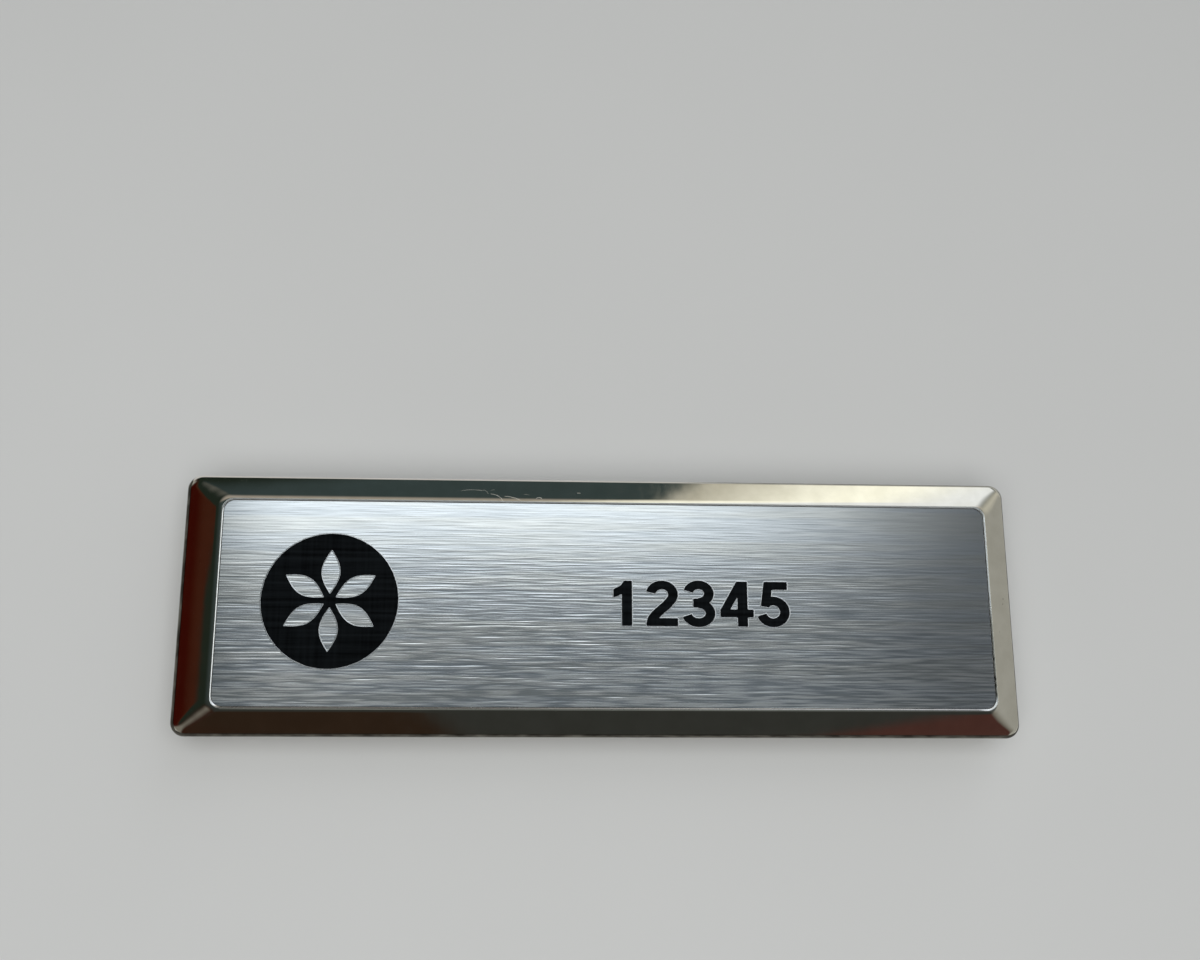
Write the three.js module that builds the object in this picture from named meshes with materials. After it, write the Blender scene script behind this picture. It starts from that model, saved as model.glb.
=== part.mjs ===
// Name badge: a polished metal frame with sloping edges, a brushed plate set in
// its shallow recess, and a flat magnet bar on the back that holds it to cloth.
//
// Millimetres, +Z up. The badge lies face up: +X along its length, to the right
// as it is read, +Y to its top edge. The origin is under the middle of the
// frame's outline, on the back face of the magnet bar.

import * as THREE from "three";

// ---------------------------------------------------------------- sizes

const LENGTH = 65; // frame, along X
const HEIGHT = 20.2; // frame, along Y

// Width of the sloping edge on each side, seen from the front. The left one is
// wider, so the window sits a little to the right.
const SLOPE = { left: 3.0, right: 1.95, top: 2.05, bottom: 2.0 };

const BAR_LENGTH = 45; // magnet bar
const BAR_HEIGHT = 13;
const BAR_THICKNESS = 2.2;
const BAR_EDGE = 0.3; // chamfer round its back and front faces
const BAR_CORNER = 1.6;

const GLUE_GAP = 0.2; // bar to frame
const FRAME_BACK = BAR_THICKNESS + GLUE_GAP; // z of the frame's flat back
const WALL_TOP = FRAME_BACK + 1.55; // z where the slope begins
const RIDGE = FRAME_BACK + 2.6; // z of the ridge round the window
const OUTER_CORNER = 1.1; // corner radii seen from the front
const WINDOW_CORNER = 0.92;
const LIP = 0.15; // width of the shallow lip inside the ridge
const LIP_DROP = 0.05; // fall of the lip across that width

const PLATE_THICKNESS = 0.6;
const PLATE_DROP = 0.08; // top of the plate below the ridge
const PLATE_GAP = 0.15; // plate to recess, all round
const RECESS_FLOOR = RIDGE - PLATE_DROP - PLATE_THICKNESS - PLATE_GAP;

const CORNER_STEPS = 6; // straight steps in each quarter-round corner

// ---------------------------------------------------------------- outlines

// A rounded rectangle between two corners, anticlockwise from above.
function roundedRectangle(x0, y0, x1, y1, radius) {
  const shape = new THREE.Shape();
  shape.moveTo(x0 + radius, y0);
  shape.lineTo(x1 - radius, y0);
  shape.absarc(x1 - radius, y0 + radius, radius, -Math.PI / 2, 0, false);
  shape.lineTo(x1, y1 - radius);
  shape.absarc(x1 - radius, y1 - radius, radius, 0, Math.PI / 2, false);
  shape.lineTo(x0 + radius, y1);
  shape.absarc(x0 + radius, y1 - radius, radius, Math.PI / 2, Math.PI, false);
  shape.lineTo(x0, y0 + radius);
  shape.absarc(x0 + radius, y0 + radius, radius, Math.PI, 1.5 * Math.PI, false);
  return shape;
}

// The frame's outline moved inwards: `share` of the way from the outer outline
// (0) to the window (1), and then `inset` millimetres more on every side.
function frameOutline(share, inset) {
  const radius =
    OUTER_CORNER + share * (WINDOW_CORNER - OUTER_CORNER) - 0.5 * inset;
  return roundedRectangle(
    -LENGTH / 2 + share * SLOPE.left + inset,
    -HEIGHT / 2 + share * SLOPE.bottom + inset,
    LENGTH / 2 - share * SLOPE.right - inset,
    HEIGHT / 2 - share * SLOPE.top - inset,
    radius,
  );
}

// A closed solid skinned through outlines that all have the same number of
// points, from the first, facing down, to the last, facing up.
function skin(sections) {
  const rings = sections.map(({ outline, z }) => {
    const points = outline.getPoints(CORNER_STEPS);
    // The outline's end meets its start, so the doubled point is left out.
    if (points[0].distanceTo(points[points.length - 1]) < 1e-6) points.pop();
    return { points, z };
  });
  const count = rings[0].points.length;
  const position = [];
  for (const { points, z } of rings)
    for (const p of points) position.push(p.x, p.y, z);
  const index = [];
  for (let r = 0; r + 1 < rings.length; r++)
    for (let i = 0; i < count; i++) {
      const j = (i + 1) % count;
      const a = r * count + i,
        b = r * count + j,
        c = a + count,
        d = b + count;
      index.push(a, b, d, a, d, c);
    }
  const last = (rings.length - 1) * count;
  for (const [a, b, c] of THREE.ShapeUtils.triangulateShape(
    rings[0].points,
    [],
  ))
    index.push(a, c, b);
  for (const [a, b, c] of THREE.ShapeUtils.triangulateShape(
    rings[rings.length - 1].points,
    [],
  ))
    index.push(last + a, last + b, last + c);
  const geometry = new THREE.BufferGeometry();
  geometry.setAttribute(
    "position",
    new THREE.Float32BufferAttribute(position, 3),
  );
  geometry.setIndex(index);
  geometry.computeVertexNormals();
  return geometry;
}

// ---------------------------------------------------------------- pieces

// Frame: the skin runs from the flat back, up the side wall, up the slope to
// the ridge, and down the lip into the recess. share and inset as above.
const frameSections = [
  { name: "back", share: 0, inset: 0.3, z: FRAME_BACK },
  { name: "foot", share: 0, inset: 0.0, z: FRAME_BACK + 0.3 },
  { name: "wall_top", share: 0, inset: 0.0, z: WALL_TOP - 0.1 },
  { name: "wall_round", share: 0, inset: 0.05, z: WALL_TOP },
  { name: "slope_foot", share: 0.08, inset: 0, z: WALL_TOP + 0.09 },
  { name: "slope_head", share: 0.87, inset: 0, z: RIDGE - 0.09 },
  { name: "ridge", share: 1, inset: 0, z: RIDGE },
  { name: "lip", share: 1, inset: LIP, z: RIDGE - LIP_DROP },
  { name: "recess", share: 1, inset: LIP, z: RECESS_FLOOR },
].map(({ share, inset, z }) => ({ outline: frameOutline(share, inset), z }));

const frame = new THREE.Mesh(
  skin(frameSections),
  new THREE.MeshStandardMaterial({
    color: 0xb9b8b0,
    roughness: 0.08,
    metalness: 1,
  }),
);
frame.name = "frame";

// Plate: a flat sheet lying in the recess.
const plate = new THREE.Mesh(
  new THREE.ExtrudeGeometry(frameOutline(1, LIP + PLATE_GAP), {
    depth: PLATE_THICKNESS,
    bevelEnabled: false,
    curveSegments: CORNER_STEPS,
  }),
  new THREE.MeshStandardMaterial({
    color: 0xaab2b8,
    roughness: 0.35,
    metalness: 1,
  }),
);
plate.name = "plate";
plate.position.z = RECESS_FLOOR + PLATE_GAP;

// Magnet bar: one plain bar behind the frame, with its edges taken off.
const barOutline = (inset) =>
  roundedRectangle(
    -BAR_LENGTH / 2 + inset,
    -BAR_HEIGHT / 2 + inset,
    BAR_LENGTH / 2 - inset,
    BAR_HEIGHT / 2 - inset,
    BAR_CORNER - inset,
  );
const magnetBar = new THREE.Mesh(
  skin([
    { outline: barOutline(BAR_EDGE), z: 0 },
    { outline: barOutline(0), z: BAR_EDGE },
    { outline: barOutline(0), z: BAR_THICKNESS - BAR_EDGE },
    { outline: barOutline(BAR_EDGE), z: BAR_THICKNESS },
  ]),
  new THREE.MeshStandardMaterial({
    color: 0x8f9296,
    roughness: 0.3,
    metalness: 1,
  }),
);
magnetBar.name = "magnet_bar";

const badge = new THREE.Group();
badge.add(frame, plate, magnetBar);

export default badge;
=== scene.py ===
import math

import bpy
from mathutils import Matrix, Vector, noise
from mathutils.geometry import delaunay_2d_cdt


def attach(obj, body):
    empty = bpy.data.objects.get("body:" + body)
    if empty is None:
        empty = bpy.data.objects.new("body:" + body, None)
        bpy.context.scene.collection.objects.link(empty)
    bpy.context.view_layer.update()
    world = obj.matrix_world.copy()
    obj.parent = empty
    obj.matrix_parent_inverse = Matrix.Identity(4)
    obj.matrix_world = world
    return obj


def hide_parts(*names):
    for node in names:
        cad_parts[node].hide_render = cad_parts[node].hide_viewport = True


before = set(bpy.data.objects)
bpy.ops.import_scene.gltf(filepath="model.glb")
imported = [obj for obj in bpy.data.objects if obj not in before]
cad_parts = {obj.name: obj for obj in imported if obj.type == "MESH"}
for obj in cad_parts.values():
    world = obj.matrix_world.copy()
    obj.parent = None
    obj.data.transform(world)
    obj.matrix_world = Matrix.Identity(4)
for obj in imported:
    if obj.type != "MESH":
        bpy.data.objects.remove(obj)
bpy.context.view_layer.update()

# ------------------------------------------------------------------ sizes, mm
LENGTH, HEIGHT = 65.0, 20.2
SLOPE_LEFT, SLOPE_RIGHT, SLOPE_TOP, SLOPE_BOTTOM = 3.0, 1.95, 2.05, 2.0
NOMINAL = 2.0  # the slope width that the profile below is drawn for
FRAME_BACK, WALL_TOP, RIDGE = 2.4, 3.95, 5.0
PLATE_TOP, PLATE_UNDER, RECESS = 4.92, 4.34, 4.2
BAR_LENGTH, BAR_HEIGHT, BAR_TOP = 45.0, 13.0, 2.4
CORNER_STEPS, LONG_STEPS, SHORT_STEPS = 18, 90, 128
MM = 0.001


# ------------------------------------------------------------------ mesh help
def outline(x0, y0, x1, y1, radius):
    """A rounded rectangle, anticlockwise, always with the same number of points."""
    points = []
    corners = (
        ((x1 - radius, y0 + radius), -90, SHORT_STEPS),
        ((x1 - radius, y1 - radius), 0, LONG_STEPS),
        ((x0 + radius, y1 - radius), 90, SHORT_STEPS),
        ((x0 + radius, y0 + radius), 180, LONG_STEPS),
    )
    for k, ((cx, cy), start, steps) in enumerate(corners):
        for i in range(CORNER_STEPS + 1):
            a = math.radians(start + 90 * i / CORNER_STEPS)
            points.append((cx + radius * math.cos(a), cy + radius * math.sin(a)))
        (nx, ny), turn, _ = corners[(k + 1) % 4]
        a = math.radians(turn)
        end = (nx + radius * math.cos(a), ny + radius * math.sin(a))
        sx, sy = points[-1]
        for i in range(1, steps):
            t = i / steps
            points.append((sx + t * (end[0] - sx), sy + t * (end[1] - sy)))
    return points


def frame_outline(share, inset, radius):
    """share goes from the outer outline (0) to the window (1); inset is more, in mm, on every side."""
    return outline(
        -LENGTH / 2 + share * SLOPE_LEFT + inset,
        -HEIGHT / 2 + share * SLOPE_BOTTOM + inset,
        LENGTH / 2 - share * SLOPE_RIGHT - inset,
        HEIGHT / 2 - share * SLOPE_TOP - inset,
        radius,
    )


def table(x, rows):
    """Value at x from rows of (x, value), with straight lines between."""
    if x <= rows[0][0]:
        return rows[0][1]
    for (a, va), (b, vb) in zip(rows, rows[1:]):
        if x <= b:
            return va + (vb - va) * (x - a) / (b - a)
    return rows[-1][1]


def add_object(name, verts, faces, material, smooth=True):
    mesh = bpy.data.meshes.new(name)
    mesh.from_pydata([tuple(c * MM for c in v) for v in verts], [], faces)
    mesh.update()
    for p in mesh.polygons:
        p.use_smooth = smooth
    mesh.materials.append(material)
    obj = bpy.data.objects.new(name, mesh)
    bpy.context.scene.collection.objects.link(obj)
    return obj


def flat_uv(obj):
    """A UV map seen from above, U along the badge's length."""
    layer = obj.data.uv_layers.new(name="UVMap")
    for loop in obj.data.loops:
        c = obj.data.vertices[loop.vertex_index].co
        layer.data[loop.index].uv = (c.x / (LENGTH * MM) + 0.5, c.y / (LENGTH * MM) + 0.5)


def skin(name, rings, material, cap_first=True, cap_last=True):
    """A closed body through rings of (x, y, z), all with the same number of points."""
    n = len(rings[0])
    verts = [p for ring in rings for p in ring]
    faces = []
    for r in range(len(rings) - 1):
        for i in range(n):
            j = (i + 1) % n
            a, b = r * n + i, r * n + j
            faces.append((a, b, b + n, a + n))
    if cap_first:
        faces.append(tuple(reversed(range(n))))
    if cap_last:
        faces.append(tuple((len(rings) - 1) * n + i for i in range(n)))
    obj = add_object(name, verts, faces, material)
    flats = ([-1] if cap_last else []) + ([-2] if cap_first and cap_last else [])
    for k in flats:
        obj.data.polygons[k].use_smooth = False
    return obj


# ------------------------------------------------------------------ node help
class Nodes:
    """Small helpers for building a node tree in reading order."""

    def __init__(self, tree):
        self.tree = tree
        tree.nodes.clear()

    def node(self, kind, **settings):
        n = self.tree.nodes.new(kind)
        for key, value in settings.items():
            setattr(n, key, value)
        return n

    def link(self, a, b):
        self.tree.links.new(a, b)

    def put(self, socket, value):
        if isinstance(value, bpy.types.NodeSocket):
            self.link(value, socket)
        else:
            socket.default_value = value

    def math(self, operation, a, b=None, c=None, clamp=False):
        n = self.node("ShaderNodeMath", operation=operation, use_clamp=clamp)
        for socket, value in zip(n.inputs, (a, b, c)):
            if value is not None:
                self.put(socket, value)
        return n.outputs[0]

    def vec(self, operation, a, b=None):
        n = self.node("ShaderNodeVectorMath", operation=operation)
        self.put(n.inputs[0], a)
        if b is not None:
            self.put(n.inputs[1], b)
        return n.outputs["Value"] if operation in ("DOT_PRODUCT", "LENGTH", "DISTANCE") else n.outputs[0]

    def step(self, x, low, high, out_low=0.0, out_high=1.0):
        """Smooth step of x from low to high."""
        n = self.node("ShaderNodeMapRange", interpolation_type="SMOOTHSTEP")
        self.put(n.inputs["Value"], x)
        n.inputs["From Min"].default_value = low
        n.inputs["From Max"].default_value = high
        n.inputs["To Min"].default_value = out_low
        n.inputs["To Max"].default_value = out_high
        return n.outputs["Result"]

    def line(self, x, low, high, out_low=0.0, out_high=1.0):
        n = self.node("ShaderNodeMapRange", interpolation_type="LINEAR")
        self.put(n.inputs["Value"], x)
        n.inputs["From Min"].default_value = low
        n.inputs["From Max"].default_value = high
        n.inputs["To Min"].default_value = out_low
        n.inputs["To Max"].default_value = out_high
        return n.outputs["Result"]

    def noise(self, vector, scale=(1, 1, 1), shift=(0, 0, 0), detail=2.0, roughness=0.5, rotation=0.0):
        m = self.node("ShaderNodeMapping")
        self.link(vector, m.inputs["Vector"])
        m.inputs["Location"].default_value = shift
        m.inputs["Rotation"].default_value = (0, 0, math.radians(rotation))
        m.inputs["Scale"].default_value = scale
        n = self.node("ShaderNodeTexNoise")
        n.inputs["Scale"].default_value = 1.0
        n.inputs["Detail"].default_value = detail
        n.inputs["Roughness"].default_value = roughness
        self.link(m.outputs[0], n.inputs["Vector"])
        return n.outputs["Fac"]

    def mix(self, factor, a, b, blend="MIX"):
        n = self.node("ShaderNodeMix", data_type="RGBA", blend_type=blend)
        self.put(n.inputs["Factor"], factor)
        colours = [s for s in n.inputs if s.type == "RGBA"]
        self.put(colours[0], a)
        self.put(colours[1], b)
        return [s for s in n.outputs if s.type == "RGBA"][0]

    def bump(self, height, distance, strength=1.0, normal=None):
        n = self.node("ShaderNodeBump")
        n.inputs["Strength"].default_value = strength
        n.inputs["Distance"].default_value = distance
        self.link(height, n.inputs["Height"])
        if normal is not None:
            self.link(normal, n.inputs["Normal"])
        return n.outputs[0]


def new_material(name):
    material = bpy.data.materials.new(name)
    material.use_nodes = True
    n = Nodes(material.node_tree)
    out = n.node("ShaderNodeOutputMaterial")
    shader = n.node("ShaderNodeBsdfPrincipled")
    n.link(shader.outputs[0], out.inputs["Surface"])
    coords = n.node("ShaderNodeTexCoord").outputs["Object"]
    mm = n.vec("MULTIPLY", coords, (1000.0, 1000.0, 1000.0))
    return material, n, shader, mm


# ------------------------------------------------------------------ materials
def arc_scratch(n, x, y, cx, cy, radius, x0, x1, strength):
    """A hairline along the upper side of a circle, between two places along the badge, fading at both."""
    away = n.node("ShaderNodeCombineXYZ")
    n.link(n.math("SUBTRACT", x, cx), away.inputs["X"])
    n.link(n.math("SUBTRACT", y, cy), away.inputs["Y"])
    near = n.math("ABSOLUTE", n.math("SUBTRACT", n.vec("LENGTH", away.outputs[0]), radius))
    fade = 0.25 * (x1 - x0)
    span = n.math("MULTIPLY", n.step(x, x0, x0 + fade, 0, strength), n.step(x, x1 - fade, x1, 1, 0))
    side = n.math("GREATER_THAN", y, cy)
    return n.math("MULTIPLY", n.math("MULTIPLY", n.step(near, 0.010, 0.034, 1, 0), span), side)


def polished_material():
    material, n, shader, mm = new_material("polished_nickel")
    shader.inputs["Metallic"].default_value = 1.0
    parts = n.node("ShaderNodeSeparateXYZ")
    n.link(mm, parts.inputs[0])
    x, y, z = parts.outputs
    soft = n.noise(mm, (0.6, 0.6, 0.6), detail=3)
    colour = n.mix(n.line(soft, 0.3, 0.7), (0.69, 0.665, 0.565, 1), (0.77, 0.745, 0.645, 1))
    # along the left of the top edge the bend is painted near-white, a painted highlight
    sheen_zone = n.math("MULTIPLY", n.step(y, 9.4, 9.8), n.step(x, 3.0, 12.0, 1, 0))
    bright = n.math("MULTIPLY", sheen_zone, n.step(z, 4.02, 4.07, 1, 0))
    colour = n.mix(bright, colour, (0.99, 0.94, 0.88, 1))
    # where the slope turns down into the wall a dark band is painted, a painted dark reflection, widest along the
    # bottom edge
    ends = n.math("MAXIMUM", n.step(x, -32.2, -31.8, 1.05, 0), n.step(x, 31.9, 32.2, 0, 0.6))
    under = n.math("MAXIMUM", n.step(y, -9.8, -9.5, 1, 0), ends)
    level = n.math("ADD", z, n.math("SUBTRACT", n.math("MULTIPLY", sheen_zone, 0.13), n.math("MULTIPLY", under, 0.10)))
    painted_contour = n.math("MULTIPLY", n.step(level, 3.46, 3.60), n.step(level, 3.950, 3.985, 1, 0))
    contour_shade_noise = n.line(n.noise(mm, (0.7, 0.7, 2), (4, 4, 4), detail=3), 0.3, 0.6, 0.78, 1.0)
    colour = n.mix(n.math("MULTIPLY", painted_contour, contour_shade_noise), colour, (0.055, 0.05, 0.04, 1))
    # a few small pits
    for px, py, size in ((31.75, 0.72, 0.060), (31.68, 0.30, 0.050), (31.15, -1.95, 0.040), (-3.9, 9.05, 0.035), (14.2, -9.0, 0.035), (-31.0, 3.1, 0.045)):
        away = n.node("ShaderNodeCombineXYZ")
        n.link(n.math("SUBTRACT", x, px), away.inputs["X"])
        n.link(n.math("SUBTRACT", y, py), away.inputs["Y"])
        spot = n.step(n.vec("LENGTH", away.outputs[0]), size * 0.5, size, 0.8, 0.0)
        colour = n.mix(spot, colour, (0.16, 0.15, 0.12, 1))
    # short hairline scratches left of the middle on the top slope, near its inner edge
    lines = None
    for scratch in (
        (-10.20, 5.03, 4.00, -11.4, -9.10, 0.75),
        (-9.55, 8.42, 0.62, -9.50, -8.90, 0.60),
        (-8.80, 7.550, 1.10, -8.95, -7.74, 1.00),
        (-7.75, 5.87, 2.60, -7.90, -6.30, 0.90),
        (-7.60, 5.88, 2.51, -7.45, -6.45, 0.50),
        (-5.00, 8.10, 0.29, -5.30, -4.70, 1.00),
        (-8.60, 8.55, 0.50, -8.85, -8.40, 0.60),
        (-6.05, 7.85, 0.80, -6.30, -5.70, 0.45),
        (-1.85, 8.45, 0.40, -2.05, -1.65, 0.60),
    ):
        one = arc_scratch(n, x, y, *scratch)
        lines = one if lines is None else n.math("MAXIMUM", lines, one)
    colour = n.mix(n.math("MULTIPLY", lines, 0.9), colour, (0.97, 0.95, 0.87, 1))
    n.link(colour, shader.inputs["Base Color"])
    # the gloss is a little uneven, in faint marks across each slope
    haze = n.noise(mm, (0.9, 0.9, 0.9), (7, 3, 1), detail=4)
    rubbed = n.noise(mm, (1.6, 0.22, 1), (5, 1, 3), detail=2)
    gloss = n.math("ADD", n.line(haze, 0.3, 0.75, 0.040, 0.085), n.line(rubbed, 0.45, 0.75, 0.0, 0.03))
    n.link(n.math("ADD", gloss, n.math("MULTIPLY", lines, 0.42)), shader.inputs["Roughness"])
    wave = n.noise(mm, (0.8, 0.8, 0.8), (2, 5, 8), detail=1)
    height = n.math("SUBTRACT", wave, n.math("MULTIPLY", lines, 0.8))
    n.link(n.bump(height, 0.0000018), shader.inputs["Normal"])
    return material


def lip_material():
    """The burnished edge round the window: the same metal, whiter and less glossy."""
    material, n, shader, mm = new_material("burnished_edge")
    shader.inputs["Metallic"].default_value = 1.0
    fleck = n.noise(mm, (1.5, 1.5, 1.5), detail=4)
    colour = n.mix(fleck, (0.80, 0.81, 0.79, 1), (0.92, 0.93, 0.92, 1))
    # along the bottom it is painted greyer, a painted shade; there and on the left its outer half is painted
    # near-black, a painted dark reflection, and only its inner half keeps the whiter colour
    parts = n.node("ShaderNodeSeparateXYZ")
    n.link(mm, parts.inputs[0])
    x, y, z = parts.outputs
    bottom = n.math("MULTIPLY", n.step(y, -7.93, -7.86, 1, 0), n.step(x, 28.9, 29.6, 1, 0))
    colour = n.mix(bottom, colour, (0.50, 0.485, 0.47, 1))
    # on the right end low down the lip is painted a darker beige, a painted shade that dims its bright line
    dimmed_right_lip = n.math("MULTIPLY", n.step(y, -1.4, 0.4, 1, 0), n.step(y, -7.2, -6.8))
    colour = n.mix(n.math("MULTIPLY", dimmed_right_lip, n.step(x, 29.8, 30.1)), colour, (0.44, 0.43, 0.38, 1))
    painted_outer_dark = n.math("MAXIMUM", n.step(x, -29.455, -29.415, 1, 0), n.math("MULTIPLY", bottom, n.step(y, -8.050, -8.015, 1, 0)))
    colour = n.mix(painted_outer_dark, colour, (0.15, 0.155, 0.145, 1))
    n.link(colour, shader.inputs["Base Color"])
    # the top side is duller, the left end is the glossiest
    dull = n.math("ADD", n.step(y, 7.4, 8.0, 0.0, 0.26), n.step(x, -29.3, -29.0, -0.10, 0.0))
    n.link(n.math("ADD", n.line(fleck, 0.3, 0.7, 0.20, 0.32), dull), shader.inputs["Roughness"])
    return material


def brushed_material():
    material, n, shader, mm = new_material("brushed_metal")
    shader.inputs["Metallic"].default_value = 1.0
    shader.inputs["Anisotropic"].default_value = 0.7
    shader.inputs["Anisotropic Rotation"].default_value = 0.25
    tangent = n.node("ShaderNodeTangent", direction_type="UV_MAP", uv_map="UVMap")
    n.link(tangent.outputs[0], shader.inputs["Tangent"])
    # the brushing, from long faint streaks to short fine dashes
    grain = None
    for scale, shift, share in (
        ((0.006, 1.4, 1), (3, 9, 0), 0.09),
        ((0.045, 3.6, 1), (0, 0, 0), 0.18),
        ((0.190, 6.0, 1), (11, 2, 5), 0.38),
        ((0.450, 9.0, 1), (6, 7, 2), 0.37),
    ):
        layer = n.math("MULTIPLY", n.math("SUBTRACT", n.noise(mm, scale, shift, detail=0), 0.5), share)
        grain = layer if grain is None else n.math("ADD", grain, layer)
    # it is worn smoother towards the top edge and the right end
    parts = n.node("ShaderNodeSeparateXYZ")
    n.link(mm, parts.inputs[0])
    depth = n.math("ADD", n.step(parts.outputs["Y"], 0.5, 5.5, 0.80, 0.34), n.step(parts.outputs["Y"], -5.5, 1.5, 0.34, 0.0))
    depth = n.math("MULTIPLY", depth, n.step(parts.outputs["X"], 17.0, 30.0, 1.0, 0.45))
    grain = n.math("MULTIPLY", grain, depth)
    tone = n.line(n.math("MULTIPLY", grain, n.step(parts.outputs["Y"], -5.0, 0.5, 2.3, 1.0)), -0.14, 0.14, 0.0, 1.0)
    metal = n.mix(tone, (0.49, 0.515, 0.535, 1), (1.0, 1.0, 1.0, 1))
    tint = n.step(n.noise(mm, (0.05, 0.9, 1), (8, 1, 4), detail=2), 0.40, 0.62)
    metal = n.mix(1.0, metal, n.mix(tint, (0.975, 0.995, 1.02, 1), (1.015, 1.01, 0.985, 1)), "MULTIPLY")
    n.link(metal, shader.inputs["Base Color"])
    n.link(n.line(tone, 0, 1, 0.120, 0.095), shader.inputs["Roughness"])
    n.link(n.bump(grain, 0.0000115), shader.inputs["Normal"])
    return material


def ink_material():
    material, n, shader, mm = new_material("black_marking")
    shader.inputs["Specular IOR Level"].default_value = 0.06
    lines = n.noise(mm, (0.08, 3.2, 1), detail=3, roughness=0.6)
    cross = n.noise(mm, (4.5, 0.15, 1), (5, 0, 0), detail=1)
    tone = n.math("ADD", n.math("MULTIPLY", lines, 0.7), n.math("MULTIPLY", cross, 0.3))
    tone = n.line(tone, 0.36, 0.64)
    n.link(n.mix(tone, (0.0006, 0.0009, 0.0012, 1), (0.0050, 0.0066, 0.0078, 1)), shader.inputs["Base Color"])
    n.link(n.line(tone, 0, 1, 0.5, 0.36), shader.inputs["Roughness"])
    n.link(n.bump(tone, 0.000004), shader.inputs["Normal"])
    return material


def bar_material():
    material, n, shader, mm = new_material("satin_nickel")
    shader.inputs["Metallic"].default_value = 1.0
    scuff = n.noise(mm, (1.2, 0.25, 1), detail=5, roughness=0.65, rotation=20)
    n.link(n.mix(scuff, (0.42, 0.43, 0.44, 1), (0.6, 0.6, 0.6, 1)), shader.inputs["Base Color"])
    n.link(n.line(scuff, 0.3, 0.7, 0.22, 0.42), shader.inputs["Roughness"])
    fine = n.noise(mm, (5, 5, 5), detail=3)
    n.link(n.bump(fine, 0.000004), shader.inputs["Normal"])
    return material


def floor_material():
    material, n, shader, mm = new_material("pale_floor")
    cloud = n.noise(mm, (0.02, 0.02, 0.02), detail=3)
    n.link(n.mix(cloud, (0.60, 0.605, 0.595, 1), (0.64, 0.645, 0.635, 1)), shader.inputs["Base Color"])
    n.link(n.line(cloud, 0, 1, 0.75, 0.85), shader.inputs["Roughness"])
    shader.inputs["Specular IOR Level"].default_value = 0.2
    return material


def bare_material():
    """The bright burr that the marking leaves along its edges."""
    material, n, shader, mm = new_material("bare_edge")
    shader.inputs["Metallic"].default_value = 1.0
    fleck = n.noise(mm, (3, 9, 1), detail=3)
    n.link(n.mix(fleck, (0.72, 0.75, 0.77, 1), (0.93, 0.95, 0.96, 1)), shader.inputs["Base Color"])
    n.link(n.line(fleck, 0.3, 0.7, 0.20, 0.32), shader.inputs["Roughness"])
    return material


POLISHED, BRUSHED, INK = polished_material(), brushed_material(), ink_material()
SATIN, BARE, BURNISHED = bar_material(), bare_material(), lip_material()


# ------------------------------------------------------------------ the frame
def profile():
    """(distance in from the wall, height above the wall's top) from the flat back round to the recess.
    The bends are (length, angle at start, angle at end, steps), with 90 degrees straight up."""
    back = []
    for i in range(7):
        a = math.radians(270 - 90 * i / 6)
        back.append((0.3 + 0.3 * math.cos(a), -1.25 + 0.3 * math.sin(a)))
    back.append((0.0, -1.20))
    back.append((0.0, -0.38))
    rows = [
        (0.03, 90, 90, 1),
        (0.44, 90, 31, 15),
        (0.03, 31, 31, 1),
        (1.53, 31, 25, 12),
        (0.03, 25, 25, 1),
        (0.30, 25, 9, 8),
    ]
    foot = -0.33
    d, z = 0.0, foot
    bend = [(d, z)]
    for length, a0, a1, steps in rows:
        for i in range(steps):
            a = math.radians(a0 + (a1 - a0) * (i + 0.5) / steps)
            d += math.cos(a) * length / steps
            z += math.sin(a) * length / steps
            bend.append((d, z))
    kd = NOMINAL / bend[-1][0]
    rise = RIDGE - WALL_TOP
    kz = (rise - foot) / (bend[-1][1] - foot)
    bend = [(x * kd, foot + (y - foot) * kz) for x, y in bend]
    lip = []
    d, z = bend[-1]
    for length, a0, a1, steps in ((0.026, 7, -13, 4), (0.105, -13, -23, 5), (0.020, -23, -70, 4)):
        for i in range(steps):
            a = math.radians(a0 + (a1 - a0) * (i + 0.5) / steps)
            d += math.cos(a) * length / steps
            z += math.sin(a) * length / steps
            lip.append((d, z))
    d, z = lip[-1]
    lip += [(d + 0.003, z - 0.03), (d + 0.003, RECESS - WALL_TOP)]
    return back, bend, lip


# the mitre is sharpest a little way in from the wall, and softest near the window
CORNER_RADIUS = ((0.0, 1.1), (0.08, 1.0), (0.17, 0.72), (0.25, 0.62), (0.40, 0.86), (0.6, 1.08), (0.82, 1.10), (1.0, 0.92))


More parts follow.
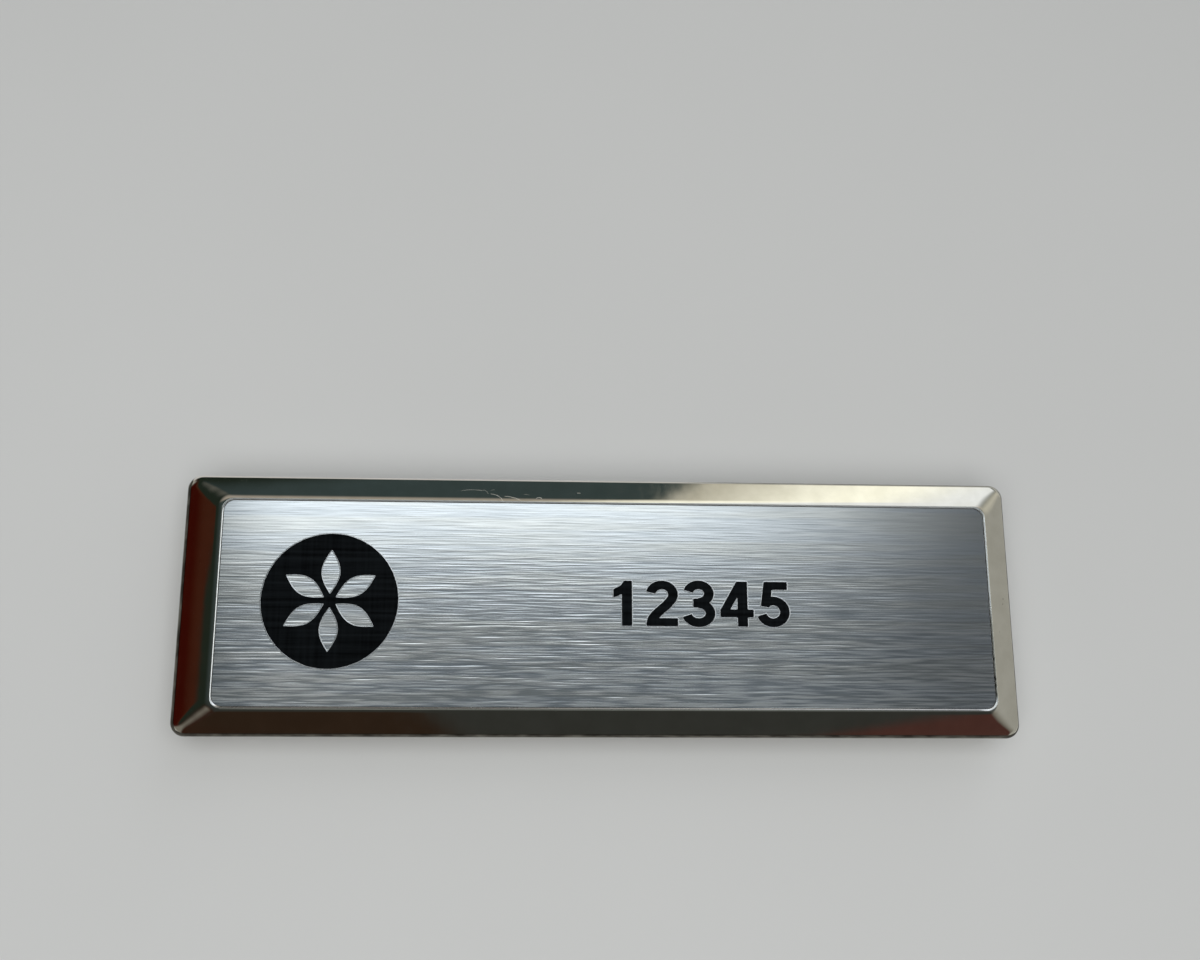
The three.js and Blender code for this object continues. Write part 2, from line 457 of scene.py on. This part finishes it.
def make_frame():
    back, bend, lip = profile()
    rings = []
    for d, z in back:
        rings.append([(x, y, WALL_TOP + z) for x, y in frame_outline(0, d, 1.1 - 0.5 * d)])
    for d, z in bend:
        s = d / NOMINAL
        rings.append([(x, y, WALL_TOP + z) for x, y in frame_outline(s, 0, table(s, CORNER_RADIUS))])
    first_lip = len(rings)
    for k, (d, z) in enumerate(lip):
        ring = []
        for x, y in frame_outline(1, d - NOMINAL, 0.92 - 0.6 * (d - NOMINAL)):
            # the brush has nibbled the lip's foot at the two ends, most at the lower right
            reach = min(1.0, max(0.0, (k - 3) / 4)) * min(1.0, max(0.0, (7.2 - abs(y)) / 0.4))
            bite = 0.0
            if abs(x) > 29:
                bite = 0.014 * noise.noise(Vector((math.copysign(5, x), y * 4.1, 0.3)))
                if x > 0:
                    bite += 0.120 * max(0.0, noise.noise(Vector((9.0, y * 3.1, 1.7)))) * min(1.0, max(0.0, (1.0 - y) / 2))
            # the lip falls less along the top side and the right end than along the others
            gentle = max(0.40 * min(1.0, max(0.0, x - 29.4)), 0.58 * min(1.0, max(0.0, y - 6.9)))
            top = RIDGE - WALL_TOP
            fall = (z - top) * (1.08 - gentle) if z > top - 0.09 else z - top
            ring.append((x + math.copysign(bite * reach, x), y, RIDGE + fall))
        rings.append(ring)
    obj = skin("polished_frame", rings, POLISHED)
    obj.data.materials.append(BURNISHED)
    n = len(rings[0])
    for p in list(obj.data.polygons)[(first_lip + 1) * n : (len(rings) - 2) * n]:
        p.material_index = 1
    flat_uv(obj)
    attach(obj, "root")
    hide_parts("frame")
    return obj


def make_plate():
    edge = 0.168
    rows = [  # inset, height
        (edge + 0.0, PLATE_UNDER),
        (edge + 0.0, PLATE_TOP - 0.012),
        (edge + 0.003, PLATE_TOP - 0.004),
        (edge + 0.009, PLATE_TOP),
        (edge + 0.013, PLATE_TOP),
        (edge + 0.06, PLATE_TOP),
    ]
    rings = [[(x, y, z) for x, y in frame_outline(1, i, 0.81 - 0.5 * (i - edge))] for i, z in rows]
    obj = skin("brushed_plate", rings, BRUSHED)
    flat_uv(obj)
    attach(obj, "root")
    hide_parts("plate")
    return obj


def make_bar():
    rows = [(0.32, 0.0), (0.24, 0.012), (0.14, 0.06), (0.06, 0.14), (0.012, 0.24), (0.0, 0.32), (0.0, 0.36), (0.0, BAR_TOP)]
    rings = []
    for inset, z in rows:
        pts = outline(-BAR_LENGTH / 2 + inset, -BAR_HEIGHT / 2 + inset, BAR_LENGTH / 2 - inset, BAR_HEIGHT / 2 - inset, 1.6 - 0.5 * inset)
        rings.append([(x, y, z) for x, y in pts])
    obj = skin("magnet_strip", rings, SATIN)
    flat_uv(obj)
    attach(obj, "root")
    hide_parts("magnet_bar")
    return obj


# ------------------------------------------------------------------ the marks
INK_TOP = PLATE_TOP + 0.008
INK_FOOT = PLATE_TOP - 0.004


def region(shapes, holes=()):
    """Triangles that cover the shapes (closed 2-D outlines, which may overlap) and leave the holes free."""
    points, loops = [], []
    for shape in (*shapes, *holes):
        turn = sum(x0 * y1 - x1 * y0 for (x0, y0), (x1, y1) in zip(shape, shape[1:] + shape[:1]))
        shape = shape if turn > 0 else shape[::-1]
        loops.append(list(range(len(points), len(points) + len(shape))))
        points += [Vector(p) for p in shape]
    found = delaunay_2d_cdt(points, [], loops, 1, 1e-5)
    kept = [f for f, source in zip(found[2], found[5]) if source and max(source) < len(shapes)]
    return [(p.x, p.y) for p in found[0]], kept


def borders(triangles):
    """The closed loops round a set of triangles, with the covered side on the left."""
    edges = {(t[i], t[(i + 1) % len(t)]) for t in triangles for i in range(len(t))}
    follow = {a: b for a, b in edges if (b, a) not in edges}
    loops = []
    while follow:
        start, here = follow.popitem()
        loop = [start]
        while here != start:
            loop.append(here)
            here = follow.pop(here)
        loops.append(loop)
    return loops


def soften(loop, reach):
    """The loop with its sharp corners rounded."""
    out = []
    for i, here in enumerate(loop):
        before, here, after = Vector(loop[i - 1]), Vector(here), Vector(loop[(i + 1) % len(loop)])
        one, two = here - before, after - here
        if abs(one.angle_signed(two, 0)) < math.radians(24):
            out.append(tuple(here))
            continue
        a = here - one.normalized() * min(reach, 0.45 * one.length)
        b = here + two.normalized() * min(reach, 0.45 * two.length)
        for k in range(5):
            t = k / 4
            out.append(tuple(a * (1 - t) ** 2 + here * 2 * t * (1 - t) + b * t * t))
    return out


def mark(name, shapes, holes=()):
    """A thin closed body of black marking on the plate, and the narrow bright burr along its edges."""
    points, triangles = region(shapes, holes)
    shapes, holes = [], []
    for loop in borders(triangles):
        loop = [points[i] for i in loop]
        turn = sum(x0 * y1 - x1 * y0 for (x0, y0), (x1, y1) in zip(loop, loop[1:] + loop[:1]))
        (shapes if turn > 0 else holes).append(soften(loop, 0.09))
    points, triangles = region(shapes, holes)
    loops = borders(triangles)
    used = sorted({i for t in triangles for i in t})
    number = {v: k for k, v in enumerate(used)}
    n = len(used)
    verts = [(*points[i], INK_TOP) for i in used] + [(*points[i], INK_FOOT) for i in used]
    faces = [tuple(number[i] for i in t) for t in triangles]
    faces += [tuple(number[i] + n for i in reversed(t)) for t in triangles]
    for loop in loops:
        for a, b in zip(loop, loop[1:] + loop[:1]):
            faces.append((number[b], number[a], number[a] + n, number[b] + n))
    body = add_object(name, verts, faces, INK, smooth=False)
    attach(body, "root")

    section = (  # out from the mark's edge, above the plate, and the lean towards the badge's top edge
        (-0.004, -0.004, 0),
        (-0.004, 0.0095, 0.0015),
        (0.006, 0.0105, 0.0016),
        (0.056, 0.0100, -0.0020),
        (0.070, 0.0040, 0),
        (0.073, -0.004, 0),
    )
    verts, faces = [], []
    for loop in loops:
        base, m, k = len(verts), len(loop), len(section)
        for i in range(m):
            before, here, after = (Vector(points[loop[(i + j) % m]]) for j in (-1, 0, 1))
            one, two = (here - before).normalized(), (after - here).normalized()
            side = Vector((one.y + two.y, -one.x - two.x))
            side = side.normalized() if side.length > 1e-6 else Vector((one.y, -one.x))
            stretch = min(1.6, 1 / max(0.3, side.dot(Vector((one.y, -one.x)))))
            for out, up, tip in section:
                p = here + side * out * stretch
                verts.append((p.x, p.y, PLATE_TOP + up + tip * side.y))
        for i in range(m):
            j = (i + 1) % m
            for c in range(k):
                d = (c + 1) % k
                faces.append((base + i * k + c, base + j * k + c, base + j * k + d, base + i * k + d))
    burr = add_object(name + "_edge", verts, faces, BARE)
    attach(burr, "root")


def arc(cx, cy, rx, ry, start, end):
    """Points along an ellipse, from one angle in degrees to another."""
    steps = max(2, round(abs(end - start) / 6))
    return [
        (cx + rx * math.cos(math.radians(start + (end - start) * i / steps)), cy + ry * math.sin(math.radians(start + (end - start) * i / steps)))
        for i in range(steps + 1)
    ]


def stroke(path, width):
    """The outline of a flat-ended pen stroke along a path."""
    left, right = [], []
    for i, p in enumerate(path):
        here = Vector(p)
        one = (here - Vector(path[i - 1])).normalized() if i else (Vector(path[1]) - here).normalized()
        two = (Vector(path[i + 1]) - here).normalized() if i + 1 < len(path) else one
        side = Vector((-one.y - two.y, one.x + two.x)).normalized()
        side *= 0.5 * width / max(0.5, side.dot(Vector((-one.y, one.x))))
        left.append(tuple(here + side))
        right.append(tuple(here - side))
    return right + left[::-1]


def make_roundel():
    """A black disc with a six-petalled rosette of bare metal."""
    cx, cy, radius = -20.91, 0.08, 5.21
    disc = []
    for i in range(360):
        a = 2 * math.pi * i / 360
        # the marking's edge follows the grain a little
        r = radius + 0.022 * noise.noise(Vector((7.0, (cy + radius * math.sin(a)) * 4.5, math.cos(a) * 1.5)))
        disc.append((cx + r * math.cos(a), cy + r * math.sin(a)))
    petals = []
    for k in range(6):
        turn = math.radians(60 * k + 30)
        start, end, half, steps = 0.5, 3.95, 0.72, 26
        petal = []
        for side in (1, -1):
            for i in range(steps):
                t = i / steps if side == 1 else 1 - i / steps
                along = start + (end - start) * t
                across = -side * half * math.sin(math.pi * t)
                petal.append((cx + along * math.cos(turn) - across * math.sin(turn), cy + along * math.sin(turn) + across * math.cos(turn)))
        petals.append(petal)
    mark("round_mark", [disc], petals)


def make_figures():
    """Plain figures in the place of a name. Each is drawn in mm, 3.8 high."""
    pen = 0.74
    figures = (
        [[(1.82, 0), (1.82, 3.8), (1.20, 3.8), (0.96, 3.40), (0.40, 3.08), (0.40, 2.38), (0.76, 2.50), (1.04, 2.68), (1.04, 0)]],
        [
            stroke(arc(1.25, 2.66, 0.85, 0.80, 170, -30) + [(1.62, 1.78), (1.16, 1.36), (0.76, 0.96), (0.52, 0.60), (0.44, 0.28), (0.43, 0)], pen),
            [(0.06, 0), (2.46, 0), (2.46, 0.68), (0.30, 0.68), (0.06, 0.30)],
        ],
        [
            stroke(arc(1.20, 2.76, 0.80, 0.73, 166, -90), pen),
            stroke(arc(1.20, 1.10, 0.90, 0.79, 90, -166), pen),
            [(0.80, 1.58), (1.25, 1.58), (1.25, 2.34), (0.80, 2.34)],
        ],
        [
            [(1.34, 0), (2.11, 0), (2.11, 3.8), (1.34, 3.8)],
            [(0.02, 0.78), (2.57, 0.78), (2.57, 1.45), (0.02, 1.45)],
            [(0.02, 1.40), (0.76, 1.40), (1.40, 2.60), (1.40, 3.8), (1.28, 3.8)],
        ],
        [
            [(0.62, 3.12), (2.34, 3.12), (2.34, 3.8), (0.55, 3.8)],
            [(0.55, 3.8), (0.28, 1.74), (0.95, 1.62), (1.06, 2.30), (1.18, 3.3)],
            stroke(arc(1.22, 1.26, 0.90, 0.92, 125, -164), pen),
        ],
    )
    advance = 2.84
    low = 0.40
    high = 4 * advance + 1.20 + 0.90 + pen / 2
    scale = 13.72 / (high - low)
    for k, shapes in enumerate(figures):
        placed = [[(0.82 + (x + k * advance - low) * scale, -1.71 + y * 0.93) for x, y in shape] for shape in shapes]
        mark(f"figure_{k + 1}", placed)


make_frame()
make_plate()
make_bar()
make_roundel()
make_figures()

# ------------------------------------------------------------------ floor
floor = add_object(
    "floor",
    [(-1500, -1500, 0), (1500, -1500, 0), (1500, 1500, 0), (-1500, 1500, 0)],
    [(0, 1, 2, 3)],
    floor_material(),
    smooth=False,
)

# ------------------------------------------------------------------ camera
camera = bpy.data.objects.new("camera", bpy.data.cameras.new("camera"))
bpy.context.scene.collection.objects.link(camera)
camera.data.sensor_fit = "HORIZONTAL"
camera.data.sensor_width = 36.0
camera.data.lens = 36.0 * 1340 / 1200
camera.data.clip_start = 0.005
camera.data.clip_end = 10
camera.matrix_world = Matrix(
    (
        (0.998334, -0.013151, -0.056178, -6.156 * MM),
        (-0.001191, 0.968768, -0.247965, -16.408 * MM),
        (0.057684, 0.247619, 0.967139, 107.408 * MM),
        (0, 0, 0, 1),
    )
)
bpy.context.scene.camera = camera

# ------------------------------------------------------------------ light
scene = bpy.context.scene
scene.view_settings.view_transform = "Standard"
world = bpy.data.worlds.new("studio")
scene.world = world
world.use_nodes = True
w = Nodes(world.node_tree)
out = w.node("ShaderNodeOutputWorld")
background = w.node("ShaderNodeBackground")
w.link(background.outputs[0], out.inputs["Surface"])
direction = w.node("ShaderNodeTexCoord").outputs["Generated"]
xyz = w.node("ShaderNodeSeparateXYZ")
w.link(direction, xyz.inputs[0])
X, Y, Z = xyz.outputs
up = w.math("MAXIMUM", Z, 0.02)
u = w.math("DIVIDE", X, up)
v = w.math("DIVIDE", Y, up)


def panel(*factors):
    value = factors[0]
    for f in factors[1:]:
        value = w.math("MULTIPLY", value, f)
    return value


def add_light(total, amount, colour):
    return w.mix(amount, total, colour, "ADD")


# a dark room, a little green towards the far side and darker on the left
base = w.mix(w.step(Y, -0.5, 0.5), (0.036, 0.038, 0.037, 1), (0.044, 0.064, 0.070, 1))
base = w.mix(w.step(u, -0.95, -0.45, 1, 0), base, (0.016, 0.023, 0.018, 1))
# warm brown walls: on the left, redder low down, and low on the near side at both ends
near = w.step(v, -1.0, -0.60, 1, 0)
total = w.mix(panel(near, w.step(u, -0.125, -0.08, 1, 0)), base, (0.030, 0.018, 0.012, 1))
total = w.mix(panel(near, w.step(u, 0.43, 0.53)), total, (0.074, 0.032, 0.028, 1))
total = w.mix(panel(w.step(u, -0.62, -0.36, 1, 0), w.step(v, -0.42, -0.10, 1, 0)), total, (0.034, 0.014, 0.009, 1))
shore = w.math("SUBTRACT", u, w.step(v, 0.25, 0.33, 0.0, 0.12))
brown = panel(w.step(shore, -1.31, -1.22, 1, 0), w.step(X, -0.80, -0.45, 1, 0))
total = w.mix(brown, total, w.mix(w.step(u, -1.60, -1.34), (0.040, 0.004, 0.002, 1), (0.054, 0.015, 0.008, 1)))
# pale low down all round, higher on the near side and on the left than beyond the top edge, and pale from below
far = panel(w.step(Y, 0.15, 0.40), w.step(X, -0.80, -0.60))
skirt = panel(w.step(Z, 0.30, 0.42, 1, 0), w.math("SUBTRACT", 1.0, far))
horizon = panel(w.step(Z, 0.03, 0.12, 1, 0), w.step(X, 0.25, 0.45, 1, 0))
skirt = w.math("MAXIMUM", w.math("MAXIMUM", skirt, horizon), w.step(Z, -0.06, -0.01, 1, 0))
# and dim grey higher up in both corners of the near side
corners = panel(w.step(Y, -0.34, -0.16, 1, 0), w.step(w.math("ABSOLUTE", X), 0.42, 0.62))
total = w.mix(corners, total, (0.20, 0.19, 0.175, 1))
total = w.mix(skirt, total, w.mix(w.step(Z, -1.0, -0.1), (0.80, 0.80, 0.79, 1), (0.40, 0.40, 0.39, 1)))
# a dim warm strip high beyond the top edge
strip = panel(w.step(Z, 0.42, 0.80), w.step(v, 0.46, 0.62), w.step(u, -0.9, -0.5))
total = w.mix(strip, total, (0.42, 0.38, 0.35, 1))
# grey ceiling over the badge, lighter on the left than on the right
ceiling = panel(w.step(v, -0.46, -0.28), w.step(v, 0.42, 0.55, 1, 0), w.step(u, -0.28, -0.17), w.step(u, 0.5, 0.9, 1, 0))
grey = w.mix(w.step(u, -0.16, -0.03), (0.245, 0.262, 0.268, 1), (0.186, 0.203, 0.210, 1))
grey = w.mix(w.step(u, 0.19, 0.35), grey, (0.106, 0.116, 0.122, 1))
total = w.mix(ceiling, total, grey)
# bright panel in the ceiling, towards the badge's top edge
over = panel(w.step(v, 0.182, 0.216), w.step(v, 0.34, 0.44, 1, 0), w.step(u, 0.04, 0.39, 1, 0), w.step(u, -0.28, -0.17))
total = w.mix(over, total, (1.28, 1.38, 1.42, 1))
# narrow window in the ceiling, to the right of the badge
side = panel(w.step(u, 0.41, 0.45), w.step(u, 0.66, 0.74, 1, 0), w.step(v, -0.12, 0.10), w.step(v, 0.30, 0.45, 1, 0))
total = w.mix(side, total, (1.5, 1.56, 1.58, 1))
# bright window beyond the top edge, from the middle to the right; its left side leans
azimuth = w.math("ARCTAN2", X, Y)
lean = w.math("ADD", azimuth, w.math("MULTIPLY", w.math("SUBTRACT", Z, 0.41), 0.05))
lean = w.math("ADD", lean, w.math("MULTIPLY", w.math("MAXIMUM", w.math("SUBTRACT", Z, 0.47), 0.0), 0.22))
low = panel(w.step(lean, 0.104, 0.134), w.step(azimuth, 0.50, 0.90, 1, 0), w.step(Z, 0.04, 0.16), w.step(Z, 0.86, 0.93, 1, 0))
glare = w.mix(w.step(lean, 0.12, 0.265), (0.60, 0.58, 0.52, 1), (1.36, 1.37, 1.28, 1))
glare = w.mix(w.step(lean, 0.265, 0.345), glare, (1.04, 1.09, 1.20, 1))
total = w.mix(low, total, glare)
# grey wall on the right, lighter towards the window
right = panel(w.step(azimuth, 0.62, 1.04), w.step(azimuth, 1.85, 2.35, 1, 0), w.step(u, 0.62, 0.85), w.step(Z, -0.06, 0.02))
wall = w.mix(w.step(Y, 0.2, 0.6), (0.385, 0.388, 0.380, 1), (0.66, 0.65, 0.60, 1))
total = w.mix(right, total, wall)
w.link(total, background.inputs["Color"])
background.inputs["Strength"].default_value = 1.0


def soft_light(name, place, size, power, colour=(1, 1, 1)):
    light = bpy.data.lights.new(name, "AREA")
    light.shape = "SQUARE"
    light.size = size
    light.energy = power
    light.color = colour
    obj = bpy.data.objects.new(name, light)
    obj.location = place
    obj.rotation_euler = (-Vector(place)).to_track_quat("-Z", "Y").to_euler()
    obj.visible_glossy = False
    scene.collection.objects.link(obj)
    return obj


soft_light("key", (-0.02, -0.07, 0.30), 0.34, 0.77)
